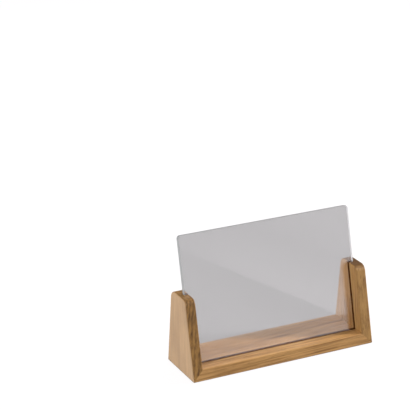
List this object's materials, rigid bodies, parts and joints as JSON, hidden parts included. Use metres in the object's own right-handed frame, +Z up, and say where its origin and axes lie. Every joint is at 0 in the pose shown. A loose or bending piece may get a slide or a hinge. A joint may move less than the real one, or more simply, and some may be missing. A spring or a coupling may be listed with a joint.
{
  "type": "photo stand",
  "caption": "Oak desk stand: a mitred U-shaped base with a leaning groove that holds two clear sheets, with the print stood between them.",
  "frame": {"origin": "on the surface the stand rests on, under the middle of the base", "axes": "+Z up, +X along the base to the right as seen from the front, front faces -Y, sheets lean back towards +Y"},
  "size_m": [0.19, 0.055, 0.1277],
  "materials": {
    "oak_rail": "oiled oak, grain along the base",
    "oak_left_post": "oiled oak, grain upright",
    "oak_right_post": "oiled oak, grain upright",
    "dowel_wood": "plain pale hardwood",
    "clear_sheet": "clear polished acrylic",
    "felt": "pressed wool felt"
  },
  "bodies": {
    "base": {"bottom_rail": "oak_rail", "left_post": "oak_left_post", "right_post": "oak_right_post", "left_front_dowel": "dowel_wood", "left_rear_dowel": "dowel_wood", "right_front_dowel": "dowel_wood", "right_rear_dowel": "dowel_wood", "left_front_pad": "felt", "right_front_pad": "felt", "left_rear_pad": "felt", "right_rear_pad": "felt"},
    "front_sheet": {"front_sheet": "clear_sheet"},
    "back_sheet": {"back_sheet": "clear_sheet"}
  },
  "joints": [
    {"name": "front_sheet_slide", "type": "slide", "parent": "base", "child": "front_sheet", "axis": [0, 0.2419, 0.9703], "range_m": [0, 0.08]},
    {"name": "back_sheet_slide", "type": "slide", "parent": "base", "child": "back_sheet", "axis": [0, 0.2419, 0.9703], "range_m": [0, 0.08]}
  ]
}
